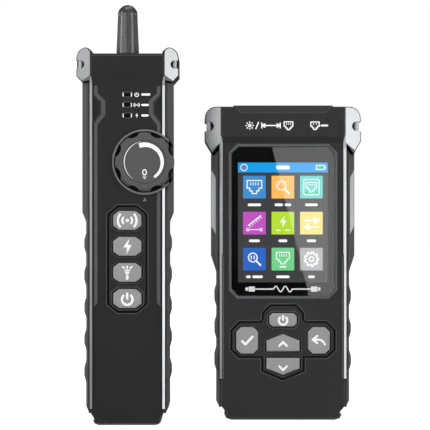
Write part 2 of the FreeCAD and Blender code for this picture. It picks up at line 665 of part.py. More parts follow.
def probe_front_cover(trims, ribs):
    foot = [(0.0, 0.0), (-12.6, 0.0), (P_PANEL_Y - 0.5, 0.7), (P_PANEL_Y, 2.3)]
    head = [(P_PANEL_Y, 161.1), (P_PANEL_Y - 0.4, 165.9), (P_PANEL_Y - 0.4, 172.9), (P_PANEL_Y + 0.7, P_TOP),
            (0.0, P_TOP)]
    body = slab(probe_core(), -14.0, 0.0).common(profile_x(foot + head, 30))
    body = body.cut(slab(probe_hollow(), P_PANEL_Y + WALL, 1.0))
    floor = slab(inset(probe_keypad_outline(), -1.0), P_PANEL_Y + 1.0, P_PANEL_Y + RECESS_DEPTH + 1.5)
    well = rod_y(DIAL_X, DIAL_Z, COLLAR_OUT + 1.2, P_PANEL_Y + 1.0, DIAL_WELL_FLOOR + 1.5)
    well = well.common(box(-P_CORE, P_CORE, -20, 20, 90, 150))
    bosses = [rod_y(x, z, BOSS_R, P_PANEL_Y + WALL, 0.0) for x, z in P_BOSSES]
    body = fuse_all([body, floor, well] + bosses)
    cutters = [recess(probe_keypad_outline(), P_PANEL_Y), dial_bore(COLLAR_OUT)]
    cutters += [rod_y(DIAL_X, DIAL_Z, SHAFT_R + RUNNING, -12.0, 0.0), side_pocket(), mirrored(side_pocket())]
    cutters += [slab(rect(1.52, z - 1.08, z + 1.08), -16, -8) for z in P_WINDOWS_Z]
    cutters += [rod_y(x, z, SCREW_R, -10.0, 1.0) for x, z in P_BOSSES]
    cutters += [rod_z(ANTENNA_X, 0, ANTENNA_R + 0.1, 165, 180), rod_z(TORCH_X, 0, TORCH_R + 0.1, 165, 180)]
    body = cut_all(body, cutters)
    ear = probe_ear_front()
    plate = island(probe_keypad_outline(), P_PANEL_Y)
    ring = key_ring(probe_key_outline(P_KEYS["power"]), P_PANEL_Y)
    body = fuse_all([body, ear, mirrored(ear), plate, ring])
    holes = [key_hole(probe_key_outline(z), P_PANEL_Y) for z in P_KEYS.values()]
    return cut_all(body, holes + trims + ribs)


def probe_rear_cover():
    body = rear_shell(probe_core(), probe_hollow(), P_CORE, P_TOP, P_BACK_Y)
    inside = slab(cut_corner_rect(P_CORE - 0.5, 1.0, P_TOP - 0.5, 3.0), 0.0, P_BACK_Y - 1.0)
    bosses = [rod_y(x, z, BOSS_R + 0.9, 0.0, P_BACK_Y - WALL).common(inside) for x, z in P_BOSSES]
    cutters = [door_recess(P_DOOR, P_BACK_Y)]
    cutters += [rod_y(x, z, SCREW_R + 0.2, -1.0, P_BACK_Y + 1) for x, z in P_BOSSES]
    cutters += [rod_y(x, z, SCREW_HEAD_R + 0.2, P_BACK_Y - 5.0, P_BACK_Y + 1) for x, z in P_BOSSES]
    cutters += [rod_z(ANTENNA_X, 0, ANTENNA_R + 0.1, 165, 180), rod_z(TORCH_X, 0, TORCH_R + 0.1, 165, 180)]
    cutters += [box(-6, 6, P_BACK_Y - 3, P_BACK_Y + 1, z, z + 1.2) for z in (104, 107, 110, 113, 116)]
    body = cut_all(fuse_all([body] + bosses), cutters)
    post = rod_y(0, P_DOOR_SCREW_Z, 2.6, 7.0, P_BACK_Y - WALL - 0.2)
    beam = box(-P_CORE + 1, P_CORE - 1, 7.0, P_BACK_Y - WALL - 0.2, P_DOOR_SCREW_Z - 1, P_DOOR_SCREW_Z + 1)
    ear = probe_ear_rear()
    body = fuse_all([body, beam, post, ear, mirrored(ear)])
    return body.cut(rod_y(0, P_DOOR_SCREW_Z, 1.0, 6.0, P_BACK_Y))


def dial_outline_cutters():
    """Scoops that leave the dial's lobes, cut parallel to its axis."""
    scoop_r = 4.0
    reach = 12.2 + scoop_r
    step = 2 * math.pi / DIAL_LOBES
    return [rod_y(DIAL_X + reach * math.cos((i + 0.5) * step), DIAL_Z + reach * math.sin((i + 0.5) * step),
                  scoop_r, -18.0, 0.0) for i in range(DIAL_LOBES)]


def probe_dial():
    back = DIAL_WELL_FLOOR - 0.3
    bevel = 1.3
    skirt = rod_y(DIAL_X, DIAL_Z, DIAL_R, DIAL_FRONT + 0.9, back)
    crown = Part.makeCone(DIAL_R - bevel, DIAL_R, 0.9, V(DIAL_X, DIAL_FRONT, DIAL_Z), V(0, 1, 0))
    body = cut_all(skirt.fuse(crown), dial_outline_cutters())
    groove = rod_y(DIAL_X, DIAL_Z, 10.2, DIAL_FRONT - 1, DIAL_FRONT + 0.35)
    groove = groove.cut(rod_y(DIAL_X, DIAL_Z, 9.9, DIAL_FRONT - 2, DIAL_FRONT + 1))
    body = body.cut(groove)
    return body.cut(rod_y(DIAL_X, DIAL_Z, SHAFT_R, DIAL_FRONT + 2.5, 0.0)).removeSplitter()


def probe_dial_shaft():
    return rod_y(DIAL_X, DIAL_Z, SHAFT_R, DIAL_FRONT + 2.5, P_BOARD_BACK - BOARD_THICK - 0.2)


def probe_dial_collar():
    ring = rod_y(DIAL_X, DIAL_Z, COLLAR_OUT, P_PANEL_Y - 0.8, DIAL_WELL_FLOOR)
    ring = ring.cut(rod_y(DIAL_X, DIAL_Z, COLLAR_IN, -20, 0))
    return ring.cut(box(19.4, 40, -20, 0, 90, 150))


def probe_potentiometer():
    body = rod_y(DIAL_X, DIAL_Z, 6.6, DIAL_WELL_FLOOR + 1.6, P_BOARD_BACK - BOARD_THICK)
    return body.cut(rod_y(DIAL_X, DIAL_Z, SHAFT_R + RUNNING, -12, 0))


def antenna_sleeve():
    """Tapered boot with a domed end and a flange inside the case."""
    shoulder = ANTENNA_TOP - 5.2
    outer = [V(0, 0, 168.0), V(ANTENNA_R, 0, 168.0), V(ANTENNA_R, 0, P_TOP), V(ANTENNA_TIP_R, 0, shoulder)]
    sides = [Part.LineSegment(a, b) for a, b in zip(outer, outer[1:])]
    crown = V(0.8, 0, ANTENNA_TOP)
    middle = V(0, 0, ANTENNA_TOP)
    dome = Part.Arc(outer[-1], V(3.65, 0, ANTENNA_TOP - 1.5), crown)
    closing = [Part.LineSegment(crown, middle), Part.LineSegment(middle, outer[0])]
    profile = Part.Wire([edge.toShape() for edge in sides + [dome] + closing])
    boot = Part.Face(profile).revolve(V(0, 0, 0), V(0, 0, 1), 360)
    boot.translate(V(ANTENNA_X, 0, 0))
    flange = rod_z(ANTENNA_X, 0, 7.0, 168.0, P_TOP - WALL - 0.05)
    return cut_all(boot.fuse(flange).removeSplitter(), [antenna_rod()])


def antenna_rod():
    return rod_z(ANTENNA_X, 0, 2.0, 128.0, ANTENNA_TOP - 3.0)


def antenna_seal():
    ring = Part.makeCone(ANTENNA_R + 1.4, ANTENNA_R + 0.5, 0.9, V(ANTENNA_X, 0, P_TOP), V(0, 0, 1))
    boot = antenna_sleeve()
    return ring.cut(boot).cut(rod_z(ANTENNA_X, 0, ANTENNA_R - 0.1, 170, 176))


def torch_led():
    """Domed lamp that ends just below the top face."""
    base = P_TOP - TORCH_R - 0.1
    dome = Part.makeSphere(TORCH_R, V(TORCH_X, 0, base)).common(box(5, 15, -5, 5, base, P_TOP))
    return rod_z(TORCH_X, 0, TORCH_R, base - 1.8, base).fuse(dome).removeSplitter()


def build_probe():
    at = (PROBE_X, PROBE_Y)
    trim = probe_trim()
    grip_right = probe_grip([trim, probe_ear_front(), probe_ear_rear()])
    pin = probe_lanyard_pin()
    bore = dial_bore(COLLAR_OUT)
    ribs = probe_ribs()
    export("probe_right_trim", trim.cut(bore), at)
    export("probe_left_trim", mirrored(trim), at)
    export("probe_right_grip", grip_right.cut(bore), at)
    export("probe_left_grip", mirrored(grip_right), at)
    export("probe_lanyard_pins", [pin, mirrored(pin)], at)
    export("probe_panel_ribs", ribs, at)
    export("probe_front_cover", probe_front_cover([trim, mirrored(trim)], ribs), at)
    export("probe_rear_cover", probe_rear_cover(), at)
    export("probe_battery_door", battery_door(P_DOOR, P_BACK_Y, P_DOOR_SCREW_Z), at)
    export("probe_door_screw", door_screw(P_BACK_Y, P_DOOR_SCREW_Z), at)
    export("probe_case_screws", case_screws(P_BOSSES, P_BACK_Y), at)
    export("probe_dial", probe_dial(), at)
    export("probe_dial_shaft", probe_dial_shaft(), at)
    export("probe_dial_collar", probe_dial_collar(), at)
    export("probe_potentiometer", probe_potentiometer(), at)
    export("probe_antenna_sleeve", antenna_sleeve(), at)
    export("probe_antenna_core", antenna_rod(), at)
    export("probe_antenna_seal", antenna_seal(), at)
    export("probe_torch_led", torch_led(), at)
    windows = [slab(rect(1.5, z - 1.06, z + 1.06), P_PANEL_Y + 0.1, -9.5) for z in P_WINDOWS_Z]
    export("probe_indicator_windows", windows, at)
    for name, z in P_KEYS.items():
        export("probe_" + name + "_button", key(probe_key_outline(z), P_PANEL_Y), at)
    mat_y = P_PANEL_Y + RECESS_DEPTH + 1.5 + 0.1 + KEY_FLANGE + KEY_TRAVEL + 0.1
    export("probe_keypad_mat", slab(inset(probe_keypad_outline(), 0.4), mat_y, mat_y + 0.9), at)
    board_front = P_BOARD_BACK - BOARD_THICK
    board = slab(cut_corner_rect(14.4, 15.0, 158.0, 1.5), board_front, P_BOARD_BACK)
    board = board.cut(rod_z(ANTENNA_X, 0, 2.4, 120, 165))
    export("probe_main_board", board, at)
    export("probe_key_switches", switches([(0, z) for z in P_KEYS.values()], mat_y + 0.95, board_front), at)
    export("probe_speaker", beeper(0, 110.0, 9.0, 4.2, 5.0), at)
    export("probe_batteries", cells(P_CELLS_X, P_CELLS_Y, 14.5), at)
    export("probe_battery_contacts", cell_plates(P_CELLS_X, P_CELLS_Y, 14.5), at)


build_tester()
build_probe()
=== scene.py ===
import math

import bmesh
import bpy
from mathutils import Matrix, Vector


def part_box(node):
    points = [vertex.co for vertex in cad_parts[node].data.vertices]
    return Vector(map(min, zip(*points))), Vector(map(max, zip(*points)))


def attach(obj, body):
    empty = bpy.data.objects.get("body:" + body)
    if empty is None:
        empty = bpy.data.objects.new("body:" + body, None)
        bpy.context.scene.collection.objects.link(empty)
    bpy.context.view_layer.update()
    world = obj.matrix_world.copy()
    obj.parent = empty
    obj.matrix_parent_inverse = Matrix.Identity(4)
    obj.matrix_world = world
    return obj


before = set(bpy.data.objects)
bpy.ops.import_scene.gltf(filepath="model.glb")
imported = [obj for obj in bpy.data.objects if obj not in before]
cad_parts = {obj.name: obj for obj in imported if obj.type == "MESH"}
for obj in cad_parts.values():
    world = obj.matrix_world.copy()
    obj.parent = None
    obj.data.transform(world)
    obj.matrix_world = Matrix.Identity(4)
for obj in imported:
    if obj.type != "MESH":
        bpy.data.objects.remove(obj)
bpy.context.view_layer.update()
MM = 0.001

# --- driving values, in metres unless a comment says otherwise --------------------
CAMERA_DISTANCE = 0.8          # from the tester's panel
CAMERA_X = -0.03264            # between the two units
CAMERA_Z = 0.0983
VIEW_WIDTH = 0.2064            # seen at the tester's panel
LIT_POINT = (-0.035, 0.0, 0.09)  # every lamp is turned towards this
ROOM_GLOW = 0.14               # light from all round, as a strength
FLOOR_HALF = 2.5
CARD_Y = -0.915                # the reflected cards stand just behind the camera
VEIL_GLOW = 3.0                # brightness of the card that veils the glass
HEAD_STEP = 0.001              # the tester's head stands this far in front of its panel
BAND_STEP = 0.0007             # and this far in front of the bands on the panel
INK_THICK = 0.00004            # a printed mark stands this much proud
INK_SUNK = 0.00003             # and reaches this deep into what carries it
FILM_THICK = 0.00012           # label film
# painted shade: a hollow's colour darkens where walls come nearer than this
SHADE_REACH = 0.003           # walls nearer than this make a hollow dark
PIXEL = 0.00018                # pitch of the display
ROUGH_SPREAD = 0.06            # a surface's roughness varies this much either way


# --- lighting, floor and camera --------------------------------------------------
def area_light(name, place, size, power):
    """Rectangular lamp of power watts, turned towards the object."""
    data = bpy.data.lights.new(name, "AREA")
    data.shape = "RECTANGLE"
    data.size, data.size_y = size
    data.energy = power
    light = bpy.data.objects.new(name, data)
    bpy.context.scene.collection.objects.link(light)
    light.location = place
    light.rotation_euler = (Vector(LIT_POINT) - light.location).to_track_quat("-Z", "Y").to_euler()
    return light


def make_camera():
    """Level camera, straight in front of the two units."""
    panel_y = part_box("tester_front_cover")[0].y + HEAD_STEP
    data = bpy.data.cameras.new("camera")
    data.sensor_width = 36.0
    data.lens = data.sensor_width * CAMERA_DISTANCE / VIEW_WIDTH
    camera = bpy.data.objects.new("camera", data)
    bpy.context.scene.collection.objects.link(camera)
    camera.location = (CAMERA_X, panel_y - CAMERA_DISTANCE, CAMERA_Z)
    camera.rotation_euler = (math.pi / 2, 0, 0)
    bpy.context.scene.camera = camera


def make_world():
    """Seen directly it is white paper; as a light it is a soft grey room."""
    world = bpy.data.worlds.new("studio")
    bpy.context.scene.world = world
    world.use_nodes = True
    nodes, links = world.node_tree.nodes, world.node_tree.links
    nodes.clear()
    out = nodes.new("ShaderNodeOutputWorld")
    seen = nodes.new("ShaderNodeBackground")
    seen.inputs["Color"].default_value = (1, 1, 1, 1)
    seen.inputs["Strength"].default_value = 1.0
    room = nodes.new("ShaderNodeBackground")
    room.inputs["Color"].default_value = (1, 1, 1, 1)
    room.inputs["Strength"].default_value = ROOM_GLOW
    path = nodes.new("ShaderNodeLightPath")
    mix = nodes.new("ShaderNodeMixShader")
    links.new(path.outputs["Is Camera Ray"], mix.inputs["Fac"])
    links.new(room.outputs[0], mix.inputs[1])
    links.new(seen.outputs[0], mix.inputs[2])
    links.new(mix.outputs[0], out.inputs[0])


def make_lights():
    """Fills only light the faces, glints only show as reflections, and boxes do both."""
    fills = [("key_fill", (0.62, -0.95, 0.30), (0.5, 0.7), 3.2),
             ("left_fill", (-0.70, -0.72, 0.20), (0.4, 0.8), 2.9),
             ("back_right", (0.7, 0.9, 0.15), (0.5, 0.8), 3.0),
             ("back_left", (-0.9, 0.8, 0.15), (0.5, 0.8), 3.0)]
    boxes = [("front_left", (-0.50, -1.25, 0.30), (0.4, 0.4), 0.9),
             ("top_box", (0.05, -0.35, 0.95), (0.9, 0.5), 0.8),
             ("right_box", (0.72, -0.70, 0.20), (0.4, 0.7), 0.85),
             ("left_box", (-0.78, -0.80, 0.25), (0.35, 0.5), 0.8),
             ("back_box", (-0.1, 1.1, 0.6), (1.2, 0.7), 7.0)]
    glints = [("right_strip", (0.80, -0.55, 0.05), (0.30, 0.8), 1.2),
              ("rail_glint", (0.66, -0.78, 0.02), (0.25, 0.4), 0.9),
              ("left_glint", (-0.94, -0.33, 0.40), (0.25, 0.25), 0.9),
              ("right_edge", (0.93, 0.20, 0.08), (0.35, 0.36), 1.3),
              ("left_edge", (-0.98, 0.22, 0.08), (0.35, 0.36), 1.7),
              ("top_glint", (0.0, -0.05, 1.05), (1.0, 0.3), 1.5)]
    for lamp in fills:
        area_light(*lamp).visible_glossy = False
    for lamp in boxes:
        area_light(*lamp)
    for lamp in glints:
        area_light(*lamp).visible_diffuse = False


def make_floor():
    """Pale floor that neither shows in the object's gloss nor keeps light from it."""
    mesh = bpy.data.meshes.new("floor")
    build = bmesh.new()
    bmesh.ops.create_grid(build, x_segments=8, y_segments=8, size=FLOOR_HALF)
    build.to_mesh(mesh)
    build.free()
    floor = bpy.data.objects.new("floor", mesh)
    bpy.context.scene.collection.objects.link(floor)
    mesh.materials.append(floor_paper())
    floor.visible_glossy = False
    floor.visible_shadow = False


def floor_paper():
    """White paper, lifted where the camera sees it and more so further off: only a soft shadow stays."""
    material = surface("floor_paper", (0.45, 0.45, 0.45), 0.9, mottle=0.01, mottle_scale=6.0, specular=0.0)
    nodes, links = material.node_tree.nodes, material.node_tree.links
    where = nodes.new("ShaderNodeTexCoord")
    reach = nodes.new("ShaderNodeVectorMath")
    reach.operation = "LENGTH"
    links.new(where.outputs["Object"], reach.inputs[0])
    path = nodes.new("ShaderNodeLightPath")
    lift = nodes.new("ShaderNodeMath")
    lift.operation = "MULTIPLY"
    links.new(path.outputs["Is Camera Ray"], lift.inputs[0])
    links.new(remap(nodes, links, reach.outputs["Value"], (0.15, 0.6), (0.9, 1.02)), lift.inputs[1])
    shader = nodes["Principled BSDF"]
    shader.inputs["Emission Color"].default_value = (1, 1, 1, 1)
    links.new(lift.outputs[0], shader.inputs["Emission Strength"])
    return material


def make_reflector(name, corners, y, strength):
    """Card behind the camera, with its corners in X, Z, that only shows as a reflection in gloss."""
    mesh = bpy.data.meshes.new(name)
    mesh.from_pydata([(x, y, z) for x, z in corners], [], [tuple(range(len(corners)))])
    card = bpy.data.objects.new(name, mesh)
    bpy.context.scene.collection.objects.link(card)
    material = bpy.data.materials.new(name)
    material.use_nodes = True
    nodes, links = material.node_tree.nodes, material.node_tree.links
    nodes.clear()
    out = nodes.new("ShaderNodeOutputMaterial")
    glow = nodes.new("ShaderNodeEmission")
    glow.inputs["Strength"].default_value = strength
    links.new(glow.outputs[0], out.inputs[0])
    mesh.materials.append(material)
    card.visible_camera = False
    card.visible_diffuse = False
    card.visible_shadow = False
    card.visible_transmission = False


def make_reflectors():
    """A bright card lights the right of the screen up to a slanted edge; a black one keeps the rest deep."""
    slant_low, slant_high, right, top = 0.0672, -0.0072, 0.16, 0.30
    veil = [(slant_low, 0.0), (right, 0.0), (right, top), (slant_high, top)]
    make_reflector("veil_card", veil, CARD_Y, VEIL_GLOW)
    make_reflector("black_card", block(-0.16, 0.0, 0.20, 0.34), CARD_Y - 0.01, 0.0)


# --- materials -------------------------------------------------------------------
def blank_material(name):
    """New material, with its nodes, its links and its main shader."""
    material = bpy.data.materials.new(name)
    material.use_nodes = True
    nodes, links = material.node_tree.nodes, material.node_tree.links
    return material, nodes, links, nodes["Principled BSDF"]


def noise(nodes, links, scale, detail=2.0):
    """Cloudy value, fixed to the object."""
    where = nodes.new("ShaderNodeTexCoord")
    cloud = nodes.new("ShaderNodeTexNoise")
    cloud.inputs["Scale"].default_value = scale
    cloud.inputs["Detail"].default_value = detail
    links.new(where.outputs["Object"], cloud.inputs["Vector"])
    return cloud.outputs["Fac"]


def remap(nodes, links, value, old, new=(0.0, 1.0)):
    """Value moved from one range to another, and held inside it."""
    span = nodes.new("ShaderNodeMapRange")
    span.inputs["From Min"].default_value, span.inputs["From Max"].default_value = old
    span.inputs["To Min"].default_value, span.inputs["To Max"].default_value = new
    links.new(value, span.inputs["Value"])
    return span.outputs["Result"]


def surface(name, colour, roughness, metallic=0.0, grain=None, mottle=0.06, mottle_scale=60.0,
            specular=0.5, coat=0.0, coat_roughness=0.1, edge=None, glow=0.0):
    """Moulded, painted or plated surface: colour and gloss vary softly, and a fine grain catches the light.

    grain is (scale, depth in metres), and mottle is how far the colour varies, as a share of it.
    edge is (width in metres, brightness): a painted highlight lightens the edges, and painted shade darkens
    narrow hollows.
    """
    material, nodes, links, shader = blank_material(name)
    shader.inputs["Metallic"].default_value = metallic
    shader.inputs["Specular IOR Level"].default_value = specular
    shader.inputs["Coat Weight"].default_value = coat
    shader.inputs["Coat Roughness"].default_value = coat_roughness
    shader.inputs["Emission Color"].default_value = (1, 1, 1, 1)
    shader.inputs["Emission Strength"].default_value = glow
    cloud = noise(nodes, links, mottle_scale, detail=4.0)
    ramp = nodes.new("ShaderNodeValToRGB")
    ramp.color_ramp.elements[0].position = 0.3
    ramp.color_ramp.elements[1].position = 0.7
    ramp.color_ramp.elements[0].color = (*[c * (1 - mottle) for c in colour], 1)
    ramp.color_ramp.elements[1].color = (*[min(1.0, c * (1 + mottle)) for c in colour], 1)
    links.new(cloud, ramp.inputs["Fac"])
    tone = ramp.outputs["Color"]
    # painted highlight along the edges and painted shade in the hollows
    if edge:
        tone = painted_light_and_shade(nodes, links, tone, *edge)
    links.new(tone, shader.inputs["Base Color"])
    spread = (max(0.02, roughness - ROUGH_SPREAD), min(1.0, roughness + ROUGH_SPREAD))
    links.new(remap(nodes, links, cloud, (0.0, 1.0), spread), shader.inputs["Roughness"])
    if grain:
        scale, depth = grain
        bump = nodes.new("ShaderNodeBump")
        bump.inputs["Strength"].default_value = 1.0
        bump.inputs["Distance"].default_value = depth
        links.new(noise(nodes, links, scale), bump.inputs["Height"])
        links.new(bump.outputs["Normal"], shader.inputs["Normal"])
    return material


def painted_light_and_shade(nodes, links, tone, width, brightness):
    """Paints a highlight on outer edges, where a rounded normal leaves the true one, and paints shade into
    narrow hollows.
    """
    rounded = nodes.new("ShaderNodeBevel")
    rounded.samples = 8
    rounded.inputs["Radius"].default_value = width
    flat = nodes.new("ShaderNodeNewGeometry")
    match = nodes.new("ShaderNodeVectorMath")
    match.operation = "DOT_PRODUCT"
    links.new(rounded.outputs["Normal"], match.inputs[0])
    links.new(flat.outputs["True Normal"], match.inputs[1])
    bend = remap(nodes, links, match.outputs["Value"], (0.995, 0.9))
    # painted shade: the colour goes near black where walls close round a hollow
    open_sky = nodes.new("ShaderNodeAmbientOcclusion")
    open_sky.samples = 8
    open_sky.inputs["Distance"].default_value = SHADE_REACH
    shade = remap(nodes, links, open_sky.outputs["AO"], (0.5, 0.97))
    reached = remap(nodes, links, open_sky.outputs["AO"], (0.75, 0.95))
    # painted highlight: only edges that stand free are lightened
    highlight_share = nodes.new("ShaderNodeMath")
    highlight_share.operation = "MULTIPLY"
    links.new(bend, highlight_share.inputs[0])
    links.new(reached, highlight_share.inputs[1])
    lighten = nodes.new("ShaderNodeMix")
    lighten.data_type = "RGBA"
    lighten.inputs["B"].default_value = (brightness, brightness, brightness, 1)
    links.new(highlight_share.outputs["Value"], lighten.inputs["Factor"])
    links.new(tone, lighten.inputs["A"])
    hollow_shade = nodes.new("ShaderNodeMix")
    hollow_shade.data_type = "RGBA"
    hollow_shade.inputs["A"].default_value = (0.002, 0.002, 0.002, 1)
    links.new(shade, hollow_shade.inputs["Factor"])
    links.new(lighten.outputs["Result"], hollow_shade.inputs["B"])
    return hollow_shade.outputs["Result"]


def linear(r, g, b):
    """Display colour, 0 to 255, as linear light."""
    return tuple((c / 255) / 12.92 if c <= 10 else ((c / 255 + 0.055) / 1.055) ** 2.4 for c in (r, g, b))


def grey(level):
    """Grey of a display level, 0 to 255, as linear light."""
    return linear(level, level, level)


def lit(name, colour, strength=1.28):
    """Patch of a lit display, with the fine grid of its pixels."""
    material, nodes, links, shader = blank_material(name)
    shader.inputs["Base Color"].default_value = (0.01, 0.01, 0.01, 1)
    shader.inputs["Roughness"].default_value = 0.4
    shader.inputs["Specular IOR Level"].default_value = 0.0
    shader.inputs["Emission Strength"].default_value = strength
    where = nodes.new("ShaderNodeTexCoord")
    grid = nodes.new("ShaderNodeTexBrick")
    grid.offset = 0.0
    grid.inputs["Scale"].default_value = 1.0
    grid.inputs["Brick Width"].default_value = PIXEL
    grid.inputs["Row Height"].default_value = PIXEL
    grid.inputs["Mortar Size"].default_value = PIXEL * 0.07
    grid.inputs["Color1"].default_value = (*colour, 1)
    grid.inputs["Color2"].default_value = (*[c * 0.96 for c in colour], 1)
    grid.inputs["Mortar"].default_value = (*[c * 0.55 for c in colour], 1)
    turn = nodes.new("ShaderNodeMapping")
    turn.inputs["Rotation"].default_value = (math.pi / 2, 0, 0)
    links.new(where.outputs["Object"], turn.inputs["Vector"])
    links.new(turn.outputs["Vector"], grid.inputs["Vector"])
    links.new(grid.outputs["Color"], shader.inputs["Emission Color"])
    return material


def screen_glass_material():
    """Clear cover glass with a faint smear of fingerprints."""
    material, nodes, links, shader = blank_material("screen_glass")
    shader.inputs["Base Color"].default_value = (1, 1, 1, 1)
    shader.inputs["Transmission Weight"].default_value = 1.0
    shader.inputs["IOR"].default_value = 1.5
    smear = noise(nodes, links, 90.0)
    links.new(remap(nodes, links, smear, (0.0, 1.0), (0.0, 0.03)), shader.inputs["Roughness"])
    return material


def brushed(name, colour, roughness):
    """Plated metal with fine parallel marks."""
    material = surface(name, colour, roughness, metallic=1.0, mottle=0.04)
    nodes, links = material.node_tree.nodes, material.node_tree.links
    where = nodes.new("ShaderNodeTexCoord")
    stretch = nodes.new("ShaderNodeMapping")
    stretch.inputs["Scale"].default_value = (400, 9000, 9000)
    marks = nodes.new("ShaderNodeTexNoise")
    marks.inputs["Scale"].default_value = 1.0
    bump = nodes.new("ShaderNodeBump")
    bump.inputs["Distance"].default_value = 0.00001
    links.new(where.outputs["Object"], stretch.inputs["Vector"])
    links.new(stretch.outputs["Vector"], marks.inputs["Vector"])
    links.new(marks.outputs["Fac"], bump.inputs["Height"])
    links.new(bump.outputs["Normal"], nodes["Principled BSDF"].inputs["Normal"])
    return material


def make_materials():
    """Every look by its short name."""
    # edge paints a highlight along the edges and shade into the hollows
    housing = {"grain": (5200, 0.000015), "specular": 0.4, "edge": (0.0005, 0.24)}
    paint = {"grain": (9000, 0.000006), "mottle": 0.03}
    print_grain = {"grain": (6000, 0.000004), "mottle": 0.03}
    return {
        "tester_housing": surface("tester_housing", grey(48), 0.48, **housing),
        "probe_housing": surface("probe_housing", grey(38), 0.48, **housing),
        "grip": surface("grip_rubber", grey(110), 0.72, grain=(3800, 0.00003), specular=0.1,
                        edge=(0.0005, 0.12)),
        "rib": surface("rib_rubber", grey(100), 0.6, grain=(4500, 0.00002), specular=0.3, edge=(0.0003, 0.2)),
        "trim": surface("silver_paint", linear(190, 191, 193), 0.3, metallic=0.6, **paint),
        "insert": surface("insert_paint", linear(160, 161, 163), 0.34, metallic=0.4, **paint),
        "steel": brushed("plated_steel", (0.58, 0.58, 0.6), 0.3),
        "bezel": surface("bezel_plastic", linear(106, 110, 112), 0.35, grain=(6000, 0.00001)),
        "glass": screen_glass_material(),
        "lcd": surface("lcd_face", (0.003, 0.003, 0.003), 0.25, grain=(7000, 0.000002), specular=0.05),
        "key": surface("key_rubber", grey(178), 0.38, grain=(4500, 0.000012), mottle=0.03,
                       edge=(0.0004, 0.8)),
        # black silicone, set darker still so the gaps round the keys show as painted shade
        "mat": surface("mat_silicone_shade_black", (0.004, 0.004, 0.004), 0.7, grain=(4000, 0.00002), specular=0.1),
        "board": surface("board_mask", (0.012, 0.10, 0.035), 0.35, grain=(2500, 0.00002), mottle=0.25,
                         mottle_scale=400.0),
        "jack": surface("jack_plastic", (0.01, 0.01, 0.01), 0.4, grain=(5000, 0.00001)),
        "gold": brushed("gold_plate", (0.83, 0.62, 0.26), 0.25),
        "sounder": surface("sounder_plastic", (0.012, 0.012, 0.012), 0.45, grain=(5000, 0.00001)),
        "cell": surface("cell_sleeve", (0.03, 0.05, 0.09), 0.3, grain=(2000, 0.000005), mottle=0.2),
        "antenna": surface("antenna_gloss", linear(58, 58, 59), 0.34, grain=(3000, 0.000004), specular=1.0,
                           coat=1.0, coat_roughness=0.22, mottle=0.03),
        "ferrite": surface("ferrite_core", (0.03, 0.03, 0.03), 0.5, grain=(4000, 0.00002)),
        "lens": surface("smoked_lens", (0.008, 0.008, 0.008), 0.12, grain=(3000, 0.000002), coat=0.5),
        "led": surface("led_lens", (0.75, 0.78, 0.8), 0.1, grain=(2000, 0.000002), coat=1.0, mottle=0.02),
        "dial": surface("dial_rubber", grey(98), 0.5, grain=(4500, 0.000018), mottle=0.04,
                        edge=(0.0003, 0.2)),
        "collar": surface("collar_plastic", grey(130), 0.35, grain=(6000, 0.000008)),
        # white print that also glows: painted light that keeps it bright under any lamp
        "ink_with_painted_glow": surface("white_ink_painted_glow", (0.98, 0.98, 0.98), 0.45, glow=0.36, **print_grain),
        "grey_ink": surface("grey_ink", grey(120), 0.45, **print_grain),
        "mask": surface("black_print", (0.001, 0.001, 0.001), 0.3, grain=(6000, 0.000001), mottle=0.02,
                        specular=0.0),
        "label": surface("label_film", linear(30, 30, 31), 0.3, **print_grain),
    }


# part of a node's name, and its look; the first that fits is used
NODE_LOOKS = [
    ("tester_front_cover", "tester_housing"), ("tester_rear_cover", "tester_housing"),
    ("tester_battery_door", "tester_housing"), ("probe_front_cover", "probe_housing"),
    ("probe_rear_cover", "probe_housing"), ("probe_battery_door", "probe_housing"),
    ("_grip", "grip"), ("panel_ribs", "rib"), ("_trim", "trim"), ("side_inserts", "insert"),
    ("lanyard_pins", "trim"), ("_screw", "steel"), ("screen_bezel", "bezel"), ("screen_glass", "glass"),
    ("lcd_panel", "lcd"), ("lcd_tray", "steel"), ("_button", "key"), ("keypad_mat", "mat"),
    ("key_switches", "steel"), ("main_board", "board"), ("_jack", "jack"), ("rj45_contacts", "gold"),
    ("rj11_contacts", "gold"), ("battery_contacts", "steel"), ("buzzer", "sounder"), ("speaker", "sounder"),
    ("batteries", "cell"), ("antenna_sleeve", "antenna"), ("antenna_core", "ferrite"),
    ("antenna_seal", "mat"), ("indicator_windows", "lens"), ("torch_led", "led"), ("dial_shaft", "steel"),
    ("dial_collar", "collar"), ("potentiometer", "steel"), ("probe_dial", "dial"),
]


def look_for(node):
    for part, look in NODE_LOOKS:
        if part in node:
            return look
    raise ValueError("no material for " + node)


def dress_nodes(looks):
    for name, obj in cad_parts.items():
        obj.data.materials.clear()
        obj.data.materials.append(looks[look_for(name)])


# --- outlines of marks, in millimetres about the mark's centre -------------------
def block(x0, z0, x1, z1):
    """Corners of an upright rectangle, anticlockwise."""
    return [(x0, z0), (x1, z0), (x1, z1), (x0, z1)]


def polar(radius, angle):
    """Point at a radius, and at an angle in degrees anticlockwise from +X."""
    return (radius * math.cos(math.radians(angle)), radius * math.sin(math.radians(angle)))


def arc(cx, cz, radius, start, end, steps=24):
    """Points along an arc, from one angle to another."""
    rays = [polar(radius, start + (end - start) * i / steps) for i in range(steps + 1)]
    return [(cx + x, cz + z) for x, z in rays]


def circle(cx, cz, radius, count):
    return arc(cx, cz, radius, 0, 360 - 360 / count, count - 1)


def rounded_box(width, height, radius, cx=0.0, cz=0.0):
    """Rectangle with rounded corners, anticlockwise."""
    right, top = width / 2 - radius, height / 2 - radius
    corners = [(right, -top, -90), (right, top, 0), (-right, top, 90), (-right, -top, 180)]
    points = []
    for x, z, start in corners:
        points += arc(cx + x, cz + z, radius, start, start + 90, 4)
    return points


